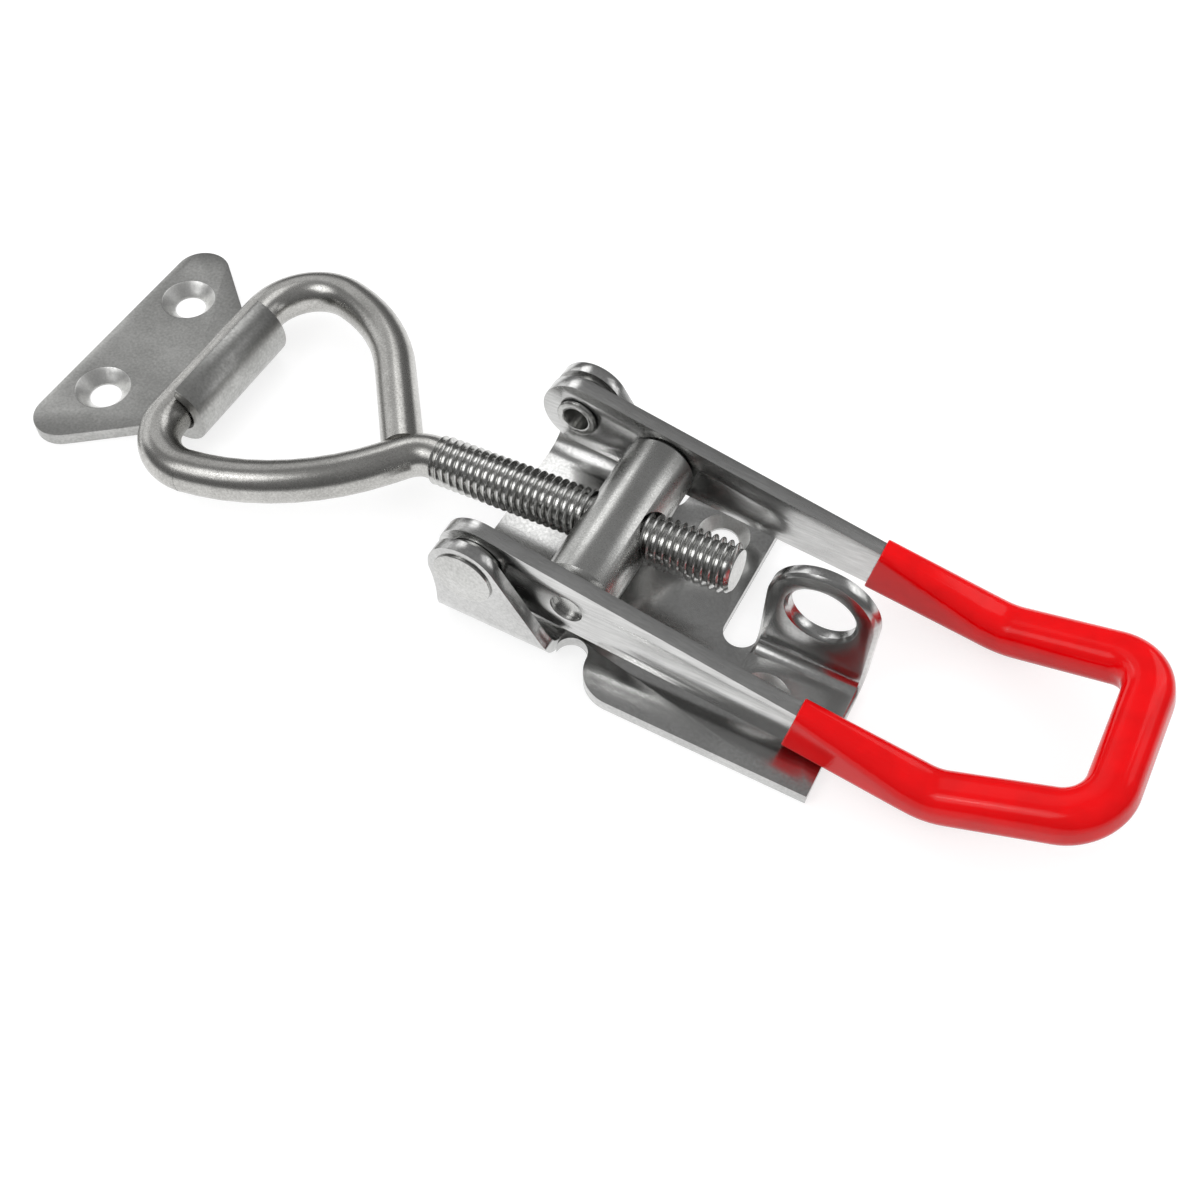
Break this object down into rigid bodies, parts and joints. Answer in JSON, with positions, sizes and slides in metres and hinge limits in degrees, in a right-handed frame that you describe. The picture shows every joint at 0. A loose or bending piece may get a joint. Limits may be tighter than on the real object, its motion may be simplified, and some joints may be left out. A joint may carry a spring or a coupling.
{
  "type": "over centre toggle latch",
  "caption": "Adjustable over centre toggle latch with a threaded wire hook, a folded base with a lock tab, a dip-gripped lever and a screw-down keeper.",
  "frame": {"origin": "on the base's mounting face, under the lever's pivot axis, on the centre plane between the arms", "axes": "+X from the pivot towards the handle when latched, +Z away from the mounting face"},
  "size_m": [0.1814, 0.0511, 0.0231],
  "materials": {
    "satin_sheet": "satin polished stainless sheet",
    "satin_strip": "satin polished stainless strip",
    "red_dip": "glossy dipped vinyl",
    "rivet_steel": "pressed stainless",
    "turned_steel": "grainy brushed stainless bar",
    "wire_steel": "drawn stainless wire with a rolled thread",
    "matte_sheet": "matte grey stainless sheet"
  },
  "bodies": {
    "base": {"base_plate": "satin_sheet", "pivot_rivet_near": "rivet_steel", "pivot_rivet_far": "rivet_steel", "spacer_washer_near": "rivet_steel", "spacer_washer_far": "rivet_steel"},
    "lever": {"lever": "satin_strip", "grip": "red_dip"},
    "trunnion": {"trunnion": "turned_steel"},
    "hook_bolt": {"hook_bolt": "wire_steel"},
    "keeper": {"keeper": "matte_sheet"}
  },
  "joints": [
    {"name": "lever_pivot", "type": "hinge", "parent": "base", "child": "lever", "pos_m": [0, 0, 0.0146], "axis": [0, -1, 0], "range_deg": [0, 150]},
    {"name": "trunnion_turn", "type": "hinge", "parent": "lever", "child": "trunnion", "pos_m": [0.0149, 0, 0.0124], "axis": [0, -1, 0], "range_deg": [-150, 0]},
    {"name": "hook_adjust", "type": "slide", "parent": "trunnion", "child": "hook_bolt", "axis": [0.9966, 0, 0.0829], "range_m": [-0.01, 0.004]},
    {"name": "keeper_swing", "type": "hinge", "parent": "hook_bolt", "child": "keeper", "pos_m": [-0.06144, 0.0029, 0.00605], "axis": [0, 1, 0], "range_deg": [0, 90]}
  ],
  "couplings": [
    {"joint": "trunnion_turn", "follows": "lever_pivot", "ratio": -1}
  ]
}
